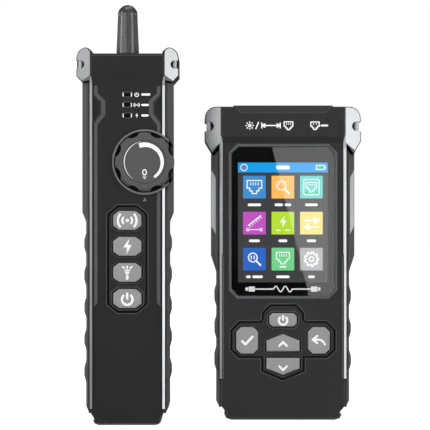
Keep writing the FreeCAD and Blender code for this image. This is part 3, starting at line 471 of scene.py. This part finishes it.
def offsets(path, half, closed):
    """The two edges of a band along a path, half a width either side of it and mitred at its corners."""
    count = len(path)
    left, right = [], []
    for i, (x, z) in enumerate(path):
        before = path[i - 1] if closed or i > 0 else None
        after = path[(i + 1) % count] if closed or i < count - 1 else None
        normals = []
        for a, b in ((before, (x, z)), ((x, z), after)):
            if a is not None and b is not None:
                length = math.hypot(b[0] - a[0], b[1] - a[1])
                normals.append((-(b[1] - a[1]) / length, (b[0] - a[0]) / length))
        if len(normals) == 1:
            nx, nz = normals[0]
        else:
            (ax, az), (bx, bz) = normals
            spread = 1 + ax * bx + az * bz
            nx, nz = (ax + bx) / spread, (az + bz) / spread
        left.append((x + nx * half, z + nz * half))
        right.append((x - nx * half, z - nz * half))
    return left, right


# --- printed and lit marks -------------------------------------------------------
class Marks:
    """Thin closed shapes on one face, seen from the front or the back.

    They are drawn in millimetres about a centre, which is given in metres, as the face is.
    """

    def __init__(self, name, centre, face, back=False, thick=INK_THICK, sunk=INK_SUNK):
        self.name = name
        self.centre = centre
        self.side = -1 if back else 1
        self.top = face - self.side * thick
        self.base = face + self.side * sunk
        self.build = bmesh.new()

    def vertex(self, at, depth):
        x = self.centre[0] + self.side * at[0] * MM
        return self.build.verts.new((x, depth, self.centre[1] + at[1] * MM))

    def fill(self, outline):
        """Solid patch inside an outline."""
        top = [self.vertex(at, self.top) for at in outline]
        base = [self.vertex(at, self.base) for at in outline]
        self.build.faces.new(top)
        self.build.faces.new(base[::-1])
        for i in range(len(outline)):
            j = (i + 1) % len(outline)
            self.build.faces.new((top[i], base[i], base[j], top[j]))

    def band(self, left, right, closed=False):
        """Solid strip between two edges with as many points each."""
        sides = ((left, self.top), (right, self.top), (right, self.base), (left, self.base))
        rows = [[self.vertex(at, depth) for at in edge] for edge, depth in sides]
        last = len(left) if closed else len(left) - 1
        for i in range(last):
            j = (i + 1) % len(left)
            for a, b in zip(rows, rows[1:] + rows[:1]):
                self.build.faces.new((a[i], b[i], b[j], a[j]))
        if not closed:
            self.build.faces.new([row[0] for row in rows])
            self.build.faces.new([row[-1] for row in rows[::-1]])

    def stroke(self, path, width, closed=False):
        self.band(*offsets(path, width / 2, closed), closed)

    def ring(self, cx, cz, radius, width):
        self.stroke(circle(cx, cz, radius, 32), width, closed=True)

    def dot(self, cx, cz, radius):
        self.fill(circle(cx, cz, radius, 24))

    def done(self, material, body):
        """Makes one piece of all the shapes, which moves with the body."""
        bmesh.ops.recalc_face_normals(self.build, faces=self.build.faces[:])
        mesh = bpy.data.meshes.new(self.name)
        self.build.to_mesh(mesh)
        self.build.free()
        mesh.materials.append(material)
        piece = bpy.data.objects.new(self.name, mesh)
        bpy.context.scene.collection.objects.link(piece)
        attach(piece, body)


def draw_power(marks, cx, cz, size, width):
    """Open ring with an upright stroke in its gap."""
    marks.stroke(arc(cx, cz, size, 125, 415), width)
    marks.stroke([(cx, cz), (cx, cz + size * 1.25)], width)


def draw_tick(marks, cx, cz, size, width):
    marks.stroke([(cx - size, cz), (cx - size * 0.3, cz - size * 0.65), (cx + size, cz + size * 0.75)], width)


def draw_return(marks, cx, cz, size, width):
    """Arrow that turns back to the left."""
    marks.stroke([(cx - size * 0.15, cz + size * 0.85), (cx - size, cz + size * 0.15),
                  (cx - size * 0.15, cz - size * 0.55)], width)
    tail = arc(cx - size * 0.1, cz - size * 0.95, size * 1.1, 95, 8, 12)
    marks.stroke([(cx - size * 0.85, cz + size * 0.15)] + tail, width)


def draw_chevron(marks, cx, cz, size, width, up):
    rise = size * 0.5 * (1 if up else -1)
    marks.stroke([(cx - size, cz - rise), (cx, cz + rise), (cx + size, cz - rise)], width)


def draw_waves(marks, cx, cz, size, width):
    """Dot that sends waves out to both sides."""
    marks.dot(cx, cz, size * 0.17)
    for reach in (0.5, 0.95):
        marks.stroke(arc(cx, cz, size * reach, -45, 45, 12), width)
        marks.stroke(arc(cx, cz, size * reach, 135, 225, 12), width)


def draw_bolt(marks, cx, cz, size):
    shape = [(-0.1, -1.0), (0.55, 0.18), (0.08, 0.18), (0.3, 1.0), (-0.5, -0.12), (0.0, -0.12)]
    marks.fill([(cx + size * x, cz + size * z) for x, z in shape])


def draw_torch(marks, cx, cz, size):
    """Hand torch that shines upwards."""
    head = [(-0.34, 0.1), (0.34, 0.1), (0.4, 0.32), (-0.4, 0.32)]
    neck = [(-0.18, -0.28), (0.18, -0.28), (0.3, 0.02), (-0.3, 0.02)]
    body = [(-0.17, -1.0), (0.17, -1.0), (0.17, -0.36), (-0.17, -0.36)]
    for shape in (head, neck, body):
        marks.fill([(cx + size * x, cz + size * z) for x, z in shape])
    for x0, z0, x1, z1 in ((0, 0.45, 0, 0.85), (-0.35, 0.48, -0.68, 0.78), (0.35, 0.48, 0.68, 0.78)):
        marks.stroke([(cx + size * x0, cz + size * z0), (cx + size * x1, cz + size * z1)], size * 0.22)


def draw_port(marks, cx, cz, size, width, pins=4):
    """Front of a modular socket: a stepped mouth with its contacts."""
    right = [(1.0, 0.85), (1.0, -0.2), (0.62, -0.2), (0.62, -0.58), (0.3, -0.58), (0.3, -0.95)]
    shape = right + [(-x, z) for x, z in right[::-1]]
    marks.stroke([(cx + size * x, cz + size * z) for x, z in shape[::-1]], width, closed=True)
    for i in range(pins):
        x = cx + size * 1.4 * ((i + 0.5) / pins - 0.5)
        marks.stroke([(x, cz + size * 0.6), (x, cz + size * 0.18)], width * 0.75)


def draw_magnifier(marks, cx, cz, size, width):
    marks.ring(cx - size * 0.2, cz + size * 0.2, size * 0.62, width)
    marks.stroke([(cx + size * 0.28, cz - size * 0.28), (cx + size * 0.95, cz - size * 0.95)], width * 1.5)


def draw_ruler(marks, cx, cz, size, width):
    """Slanted scale over a measured line."""
    low, high = (cx - size * 0.85, cz - size * 0.35), (cx + size * 0.85, cz + size)
    marks.stroke([low, high], width)
    for i in range(6):
        part = (i + 0.6) / 6
        x, z = low[0] + (high[0] - low[0]) * part, low[1] + (high[1] - low[1]) * part
        marks.stroke([(x, z), (x + size * 0.2, z - size * 0.3)], width * 0.8)
    marks.stroke([(cx - size * 0.6, cz - size * 0.85), (cx + size * 0.6, cz - size * 0.85)], width * 0.8)
    half = size * 0.14
    for x in (cx - size * 0.85, cx + size * 0.85):
        z = cz - size * 0.85
        marks.stroke(block(x - half, z - half, x + half, z + half), width * 0.7, closed=True)


def draw_gear(marks, cx, cz, size, width):
    """Outline of a toothed wheel round a small ring."""
    rim = []
    for i in range(9):
        for reach, turn in ((0.76, -13), (1.0, -8), (1.0, 8), (0.76, 13)):
            x, z = polar(size * reach, 40 * i + turn)
            rim.append((cx + x, cz + z))
    marks.stroke(rim, width, closed=True)
    marks.ring(cx, cz, size * 0.32, width)


def draw_length(marks, cx, cz, size, width):
    """Double-headed arrow between two end stops."""
    for side in (-1, 1):
        x = cx + side * size
        marks.stroke([(x, cz - 1.4), (x, cz + 1.4)], width)
        marks.stroke([(x - side * 1.7, cz + 0.95), (x - side * 0.5, cz), (x - side * 1.7, cz - 0.95)], width)
    marks.stroke([(cx - size + 0.7, cz), (cx + size - 0.7, cz)], width)


def draw_lamp(marks, cx, cz, size, width):
    """Blinking lamp: a dot with rays."""
    marks.dot(cx, cz, size * 0.42)
    for i in range(8):
        x, z = polar(size, 45 * i)
        marks.stroke([(cx + 0.62 * x, cz + 0.62 * z), (cx + x, cz + z)], width)


def draw_bars(marks, cx, cz, widths, height, gap=0.8):
    """Words drawn as plain bars."""
    total = sum(widths) + gap * (len(widths) - 1)
    x = cx - total / 2
    for width in widths:
        marks.fill(rounded_box(width, height, height * 0.45, x + width / 2, cz))
        x += width + gap


def draw_cable(marks, cx, cz, reach, size, width):
    """Two plugs joined by a cable with two waves in it."""
    for side in (-1, 1):
        x = cx + side * reach
        tip, end = x + side * size * 1.2, x + side * size * 2.0
        marks.fill(block(x - size, cz - size * 0.8, x + size, cz + size * 0.8))
        marks.fill(block(tip, cz - size * 0.5, end, cz + size * 0.5)[::side])
    steps = 24
    wave = [(cx + reach * (0.6 * i / steps - 0.3), cz + size * 0.9 * math.sin(4 * math.pi * i / steps))
            for i in range(steps + 1)]
    marks.stroke([(cx - reach + size * 1.1, cz)] + wave + [(cx + reach - size * 1.1, cz)], width)


def middle(node):
    """X and Z of the middle of a CAD node."""
    low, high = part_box(node)
    return ((low.x + high.x) / 2, (low.z + high.z) / 2)


# --- tester: marks, screen and label ---------------------------------------------
def mark_tester_keys():
    """A symbol on each key, which moves with it."""
    symbols = {
        "power": lambda m: draw_power(m, 0, -0.3, 2.05, 0.95),
        "ok": lambda m: draw_tick(m, 0, 0, 2.8, 1.05),
        "back": lambda m: draw_return(m, 0, 0, 2.9, 0.9),
        "up": lambda m: draw_chevron(m, 0, -0.8, 2.1, 0.95, True),
        "down": lambda m: draw_chevron(m, 0, -0.6, 2.1, 0.95, False),
    }
    for key, draw in symbols.items():
        node = "tester_" + key + "_button"
        marks = Marks("tester_" + key + "_symbol", middle(node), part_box(node)[0].y)
        draw(marks)
        marks.done(looks["ink_with_painted_glow"], "tester_" + key + "_key")


def mark_tester_head():
    """Symbols under the two sockets in the top end."""
    low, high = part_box("tester_front_cover")
    head_y, height = low.y, high.z - 9.8 * MM
    wide = Marks("tester_rj45_symbols", (middle("tester_rj45_jack")[0], height), head_y)
    draw_lamp(wide, -9.6, 0, 2.0, 0.5)
    wide.stroke([(-6.7, -1.7), (-5.3, 1.7)], 0.6)
    draw_length(wide, 0.6, 0, 4.4, 0.6)
    draw_port(wide, 9.0, 0, 2.1, 0.5, 3)
    wide.done(looks["ink_with_painted_glow"], "tester")
    small = Marks("tester_rj11_symbol", (middle("tester_rj11_jack")[0] + 2.0 * MM, height), head_y)
    draw_port(small, -2.2, 0, 2.0, 0.5, 2)
    draw_bars(small, 2.3, 0, (3.6,), 0.9)
    small.done(looks["ink_with_painted_glow"], "tester")


def paint_rail_shade_bands():
    """Grey bands on the raised edges of the tester's panel, inside the lower rails: painted shade that stands
    in for the rails' silver inner slopes.
    """
    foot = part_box("tester_right_trim")[0].z
    band_x, band_y = 28.8 * MM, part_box("tester_front_cover")[0].y + BAND_STEP
    half, low, high = 0.45, 0.1, 58.8
    for side, x in (("left", -band_x), ("right", band_x)):
        band = Marks("tester_rail_shade_band_" + side, (x, foot), band_y)
        # painted shade: flat grey where the rail's silver inner slope would lie in shade
        band.fill(block(-half, low, half, high))
        band.done(looks["rib"], "tester")


# the screen's layout, in millimetres
LIT_MARGINS = (1.6, 4.2, 1.8)  # unlit rim of the display panel: either side, below and above
TILE_PITCH = (13.7, 17.3)
TILE_SIZE = 10.9
BAR_HEIGHT = 4.7
CAPTION_DROP = 8.5             # a caption lies this far below the middle of its tile
# icon, display colour of the tile, and widths of the bars that stand for its caption
TILES = [
    ("port", (62, 140, 206), (6.4,)), ("finder", (250, 186, 92), (4.0, 3.2)),
    ("link", (104, 208, 202), (6.0,)), ("ruler", (190, 80, 190), (5.2,)), ("bolt", (182, 220, 52), (4.2,)),
    ("ping", (240, 222, 130), (4.4,)), ("search", (44, 100, 196), (2.2, 5.0)),
    ("switch", (112, 208, 136), (6.4,)), ("gear", (172, 172, 174), (3.2,)),
]


def draw_tile(marks, kind, cx, cz):
    """Icon of one tile."""
    if kind == "port":
        draw_port(marks, cx, cz + 0.2, 3.5, 0.5)
    elif kind == "finder":
        draw_magnifier(marks, cx - 0.1, cz + 0.1, 3.5, 0.5)
        marks.stroke(arc(cx - 0.8, cz + 0.8, 1.2, 100, 190, 8), 0.35)
    elif kind == "link":
        draw_port(marks, cx, cz + 0.2, 2.5, 0.4)
        marks.stroke(rounded_box(7.4, 7.4, 0.7, cx, cz), 0.4, closed=True)
    elif kind == "ruler":
        draw_ruler(marks, cx, cz, 3.7, 0.5)
    elif kind == "bolt":
        draw_bolt(marks, cx, cz + 0.7, 3.0)
        marks.stroke([(cx - 3.4, cz - 3.4), (cx - 1.2, cz - 3.4)], 0.5)
        marks.stroke([(cx + 1.2, cz - 3.4), (cx + 3.4, cz - 3.4)], 0.5)
    elif kind == "ping":
        marks.stroke([(cx - 3.4, cz + 1.3), (cx + 2.6, cz + 1.3)], 0.6)
        marks.stroke([(cx + 1.2, cz + 2.7), (cx + 3.2, cz + 1.3), (cx + 1.2, cz - 0.1)], 0.6)
        marks.stroke([(cx + 3.4, cz - 1.9), (cx - 2.6, cz - 1.9)], 0.6)
        marks.stroke([(cx - 1.2, cz - 0.5), (cx - 3.2, cz - 1.9), (cx - 1.2, cz - 3.3)], 0.6)
    elif kind == "search":
        draw_magnifier(marks, cx - 0.1, cz + 0.1, 3.4, 0.55)
        marks.stroke([(cx - 1.5, cz + 1.7), (cx - 1.5, cz - 0.1)], 0.5)
        marks.stroke([(cx - 0.1, cz + 1.7), (cx - 0.1, cz - 0.1)], 0.5)
    elif kind == "switch":
        draw_port(marks, cx, cz + 0.6, 3.1, 0.45)
        marks.stroke([(cx - 1.6, cz - 3.7), (cx + 1.6, cz - 3.7)], 0.6)
    else:
        draw_gear(marks, cx, cz, 3.4, 0.6)


def screen_levels():
    """Depths between the cover glass and the display, front to back."""
    glass_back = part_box("tester_screen_glass")[1].y
    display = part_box("tester_lcd_panel")[0].y
    gap = display - glass_back
    return [glass_back + gap * part for part in (0.2, 0.4, 0.62, 0.85)]


# a layer of the display, in metres
THIN = {"thick": 0.00001, "sunk": 0.00002}


def make_screen():
    """Lit field, menu strip, tiles and icons in layers, with the black print in front of them."""
    mask_y, icon_y, tile_y, field_y = screen_levels()
    side_margin, low_margin, high_margin = LIT_MARGINS
    low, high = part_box("tester_lcd_panel")
    half = (high.x - low.x) / 2 / MM - side_margin
    bottom, top = low.z / MM + low_margin, high.z / MM - high_margin
    tall = (top - bottom) / 2
    centre = ((low.x + high.x) / 2, (bottom + top) / 2 * MM)
    bar_z = tall - BAR_HEIGHT / 2
    battery_x, ring_x = half - 3.6, -half + 2.9

    field = Marks("tester_display_field", centre, field_y, **THIN)
    field.fill(block(-half, -tall, half, tall))
    field.done(lit("display_field", linear(68, 68, 70), strength=1.0), "tester")

    bar = Marks("tester_display_bar", centre, tile_y, **THIN)
    bar.fill(block(-half, tall - BAR_HEIGHT, half, tall))
    bar.done(lit("display_bar", linear(6, 156, 234)), "tester")

    icons = Marks("tester_display_icons", centre, icon_y, **THIN)
    greens = Marks("tester_display_battery", centre, icon_y, **THIN)
    for i, (kind, colour, words) in enumerate(TILES):
        x, z = (i % 3 - 1) * TILE_PITCH[0], (1 - i // 3) * TILE_PITCH[1] - 0.3
        tile = Marks("tester_display_tile_" + kind, centre, tile_y, **THIN)
        tile.fill(rounded_box(TILE_SIZE, TILE_SIZE, 0.3, x, z))
        tile.done(lit("tile_" + kind, linear(*colour)), "tester")
        draw_tile(icons, kind, x, z)
        draw_bars(icons, x, z - CAPTION_DROP, words, 1.3)
        if kind == "link":
            for side in (-1, 1):
                greens.fill(rounded_box(1.3, 1.1, 0.2, x + side * 2.5, z - 2.5))

    draw_bars(icons, 0, bar_z, (6.6,), 1.9)
    icons.stroke(block(battery_x - 1.9, bar_z - 1.0, battery_x + 1.9, bar_z + 1.0), 0.45, closed=True)
    icons.fill(block(battery_x + 2.2, bar_z - 0.5, battery_x + 2.6, bar_z + 0.5))
    icons.ring(ring_x, bar_z, 1.55, 0.35)
    icons.done(lit("display_white", linear(244, 248, 250)), "tester")

    greens.fill(block(battery_x - 1.5, bar_z - 0.65, battery_x + 0.9, bar_z + 0.65))
    greens.done(lit("display_green", linear(30, 205, 90)), "tester")
    power = Marks("tester_display_power", centre, icon_y, **THIN)
    draw_power(power, ring_x, bar_z - 0.1, 0.75, 0.3)
    power.done(lit("display_red", linear(150, 70, 90)), "tester")

    make_screen_mask(centre, mask_y, half, tall)


def make_screen_mask(centre, mask_y, half, tall):
    """Black print behind the glass, round the lit area, with one white symbol."""
    low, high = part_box("tester_screen_glass")
    rim, corner = 0.05, 3.5
    side = (high.x - low.x) / 2 / MM - rim
    bottom = (low.z - centre[1]) / MM + rim
    top = (high.z - centre[1]) / MM - rim
    mask = Marks("tester_screen_mask", centre, mask_y, **THIN)
    mask.fill([(-side, tall), (side, tall), (side, top - corner), (side - corner, top), (-side + corner, top),
               (-side, top - corner)])
    mask.fill([(-side + corner, bottom), (side - corner, bottom), (side, bottom + corner), (side, -tall),
               (-side, -tall), (-side, bottom + corner)])
    for direction in (-1, 1):
        mask.fill(block(half * direction, -tall, side * direction, tall)[::direction])
    mask.done(looks["mask"], "tester")
    print_face = mask_y - THIN["thick"] - THIN["sunk"]
    symbol = Marks("tester_screen_symbol", centre, print_face, **THIN)
    draw_cable(symbol, 0, (bottom - tall) / 2, 15.0, 1.5, 0.6)
    symbol.done(looks["ink_with_painted_glow"], "tester")


def make_back_label(name, body, door, half, height, lift):
    """Film label with a thin border, a socket outline and bars for words, above a battery door.

    It is twice half wide, and its middle lies lift above the door, all in millimetres.
    """
    low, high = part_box(door)
    centre = ((low.x + high.x) / 2, high.z + lift * MM)
    film = Marks(name + "_film", centre, high.y, back=True, thick=FILM_THICK)
    film.fill(rounded_box(half * 2, height, 1.5))
    film.done(looks["label"], body)
    print_on = Marks(name + "_marks", centre, high.y + FILM_THICK, back=True)
    print_on.stroke(rounded_box(half * 2 - 2, height - 2, 1.0), 0.25, closed=True)
    draw_port(print_on, -half + 6.0, height / 2 - 6.0, 2.6, 0.35)
    draw_bars(print_on, half * 0.25, height / 2 - 4.6, (half * 0.8,), 0.8)
    draw_bars(print_on, half * 0.25, height / 2 - 7.2, (half * 0.45, half * 0.3), 0.8)
    for row in range(3):
        draw_bars(print_on, 0, -height / 2 + 4.0 + row * 2.4, (half * 0.9, half * 0.6), 0.6)
    print_on.done(looks["grey_ink"], body)


# --- probe: marks ----------------------------------------------------------------
def mark_probe_keys():
    """A symbol on each key, which moves with it."""
    symbols = {
        "scan": lambda m: draw_waves(m, 0, 0, 4.6, 0.95),
        "voltage": lambda m: draw_bolt(m, 0, 0, 3.7),
        "torch": lambda m: draw_torch(m, 0, 0.2, 3.5),
        "power": lambda m: draw_power(m, 0, -0.4, 2.5, 1.0),
    }
    for key, draw in symbols.items():
        node = "probe_" + key + "_button"
        marks = Marks("probe_" + key + "_symbol", middle(node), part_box(node)[0].y)
        draw(marks)
        marks.done(looks["ink_with_painted_glow"], "probe_" + key + "_key")


def probe_panel_y():
    """Depth of the probe's panel: the indicator windows lie 0.1 mm behind it."""
    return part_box("probe_indicator_windows")[0].y - 0.1 * MM


def mark_probe_panel():
    """Lines either side of each indicator window, and a symbol and a bar beside it."""
    low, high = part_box("probe_indicator_windows")
    window_half, symbol_x, bar_x = 1.06, 4.4, 6.6
    power_z, waves_z, bolt_z = high.z / MM - window_half, (low.z + high.z) / 2 / MM, low.z / MM + window_half
    marks = Marks("probe_indicator_marks", ((low.x + high.x) / 2, 0.0), probe_panel_y())
    for z in (power_z, waves_z, bolt_z):
        for x in (-1.95, 1.95):
            marks.stroke([(x, z - 0.9), (x, z + 0.9)], 0.4)
    draw_power(marks, symbol_x, power_z - 0.1, 0.85, 0.4)
    draw_waves(marks, symbol_x, waves_z, 1.35, 0.34)
    draw_bolt(marks, symbol_x, bolt_z, 1.3)
    for z, width in ((power_z, 4.2), (waves_z, 4.4), (bolt_z, 3.4)):
        draw_bars(marks, bar_x + width / 2, z, (width,), 1.0)
    marks.done(looks["ink_with_painted_glow"], "probe")


def tapered_arc(marks, radius, start, turn, width):
    """Curved band inside a radius; width works out its width from how far along it is, 0 to 1."""
    shares = [i / 40 for i in range(41)]
    outer = [polar(radius, start + turn * share) for share in shares]
    inner = [polar(radius - width(share), start + turn * share) for share in shares]
    marks.band(outer, inner)


def mark_dial():
    """Thick arc, a thin crescent of painted highlight on the edge of the sunk disc, and a zero on the dial,
    and a fixed pointer on the panel below it.
    """
    x, z = middle("probe_dial")
    marks = Marks("probe_dial_marks", (x, z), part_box("probe_dial")[0].y)
    tapered_arc(marks, 9.0, 108, -166, lambda share: 2.2 - 1.1 * share)
    # painted highlight: a thin white crescent where the edge of the dial's sunk disc catches the light
    tapered_arc(marks, 9.65, 100, 135, lambda share: 0.08 + 0.3 * math.sin(math.pi * share))
    ring = circle(0.0, 0.0, 1.0, 24)
    marks.stroke([(0.85 * x_part, -4.9 + 1.25 * z_part) for x_part, z_part in ring], 0.5, closed=True)
    marks.stroke([(-0.65, -7.0), (0.65, -7.0), (0.0, -8.0)], 0.25, closed=True)
    marks.done(looks["ink_with_painted_glow"], "dial")
    pointer = Marks("probe_dial_pointer", (x, z - 17.5 * MM), probe_panel_y())
    pointer.fill([(-1.05, -0.9), (1.05, -0.9), (0.0, 0.95)])
    pointer.done(looks["grey_ink"], "probe")


# --- softened edges --------------------------------------------------------------
# how wide the edges of a moulding are rounded, in millimetres
BUTTON_EDGE = 0.2
EDGE_WIDTHS = {
    "tester_front_cover": 0.25, "tester_rear_cover": 0.3, "tester_battery_door": 0.15,
    "tester_left_grip": 0.6, "tester_right_grip": 0.6, "tester_left_trim": 0.18, "tester_right_trim": 0.18,
    "tester_screen_bezel": 0.12,
    "probe_front_cover": 0.2, "probe_rear_cover": 0.3, "probe_battery_door": 0.15,
    "probe_left_grip": 0.5, "probe_right_grip": 0.5, "probe_left_trim": 0.15, "probe_right_trim": 0.15,
    "probe_panel_ribs": 0.15, "probe_dial": 0.25, "probe_dial_collar": 0.15,
}


def soften(obj, width):
    """Small round along the sharp edges of a moulding."""
    bevel = obj.modifiers.new("edges", "BEVEL")
    bevel.width = width * MM
    bevel.segments = 2
    bevel.limit_method = "ANGLE"
    bevel.angle_limit = math.radians(28)


def soften_nodes():
    for name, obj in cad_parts.items():
        if name in EDGE_WIDTHS:
            soften(obj, EDGE_WIDTHS[name])
        elif name.endswith("_button"):
            soften(obj, BUTTON_EDGE)


make_camera()
make_world()
make_lights()
make_floor()
make_reflectors()
looks = make_materials()
dress_nodes(looks)
soften_nodes()
mark_tester_keys()
mark_tester_head()
paint_rail_shade_bands()
make_screen()
make_back_label("tester_back_label", "tester", "tester_battery_door", 21.0, 30.0, 30.0)
mark_probe_keys()
mark_probe_panel()
mark_dial()
make_back_label("probe_back_label", "probe", "probe_battery_door", 11.0, 20.0, 16.0)
bpy.context.scene.view_settings.view_transform = "Standard"
